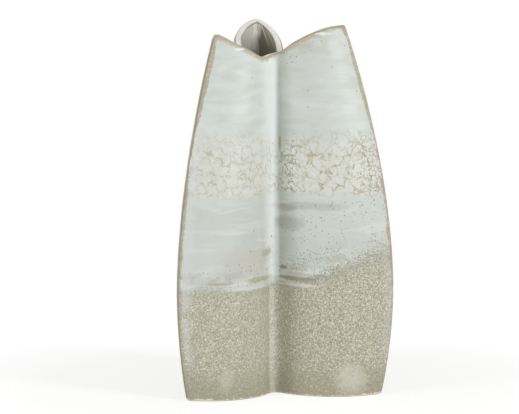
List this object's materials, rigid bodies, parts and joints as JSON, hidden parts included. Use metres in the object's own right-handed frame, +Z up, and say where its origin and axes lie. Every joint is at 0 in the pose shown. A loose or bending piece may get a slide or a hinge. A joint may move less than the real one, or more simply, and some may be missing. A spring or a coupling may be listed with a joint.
{
  "type": "fan vase",
  "caption": "Tall slab-built stoneware vase with winged lobes, deep valleys between them and a mouth that rises to a point on every wing, under a layered speckled glaze.",
  "frame": {"origin": "middle of the flat underside, on the vertical axis that the three wings share", "axes": "+Z up towards the mouth, -Y towards the front valley, +X to the right as seen from the front"},
  "size_m": [0.1797, 0.1653, 0.3026],
  "materials": {
    "glazed_stoneware": "satin glaze, celadon white above and speckled oatmeal below",
    "bare_stoneware": "unglazed, matt, at the foot line"
  },
  "bodies": {
    "root": {"front_wall": "glazed_stoneware", "right_wall": "glazed_stoneware", "left_wall": "glazed_stoneware", "left_edge_coil": "glazed_stoneware", "right_edge_coil": "glazed_stoneware", "back_edge_coil": "glazed_stoneware", "floor_coil": "glazed_stoneware", "base_slab": "bare_stoneware"}
  },
  "joints": []
}
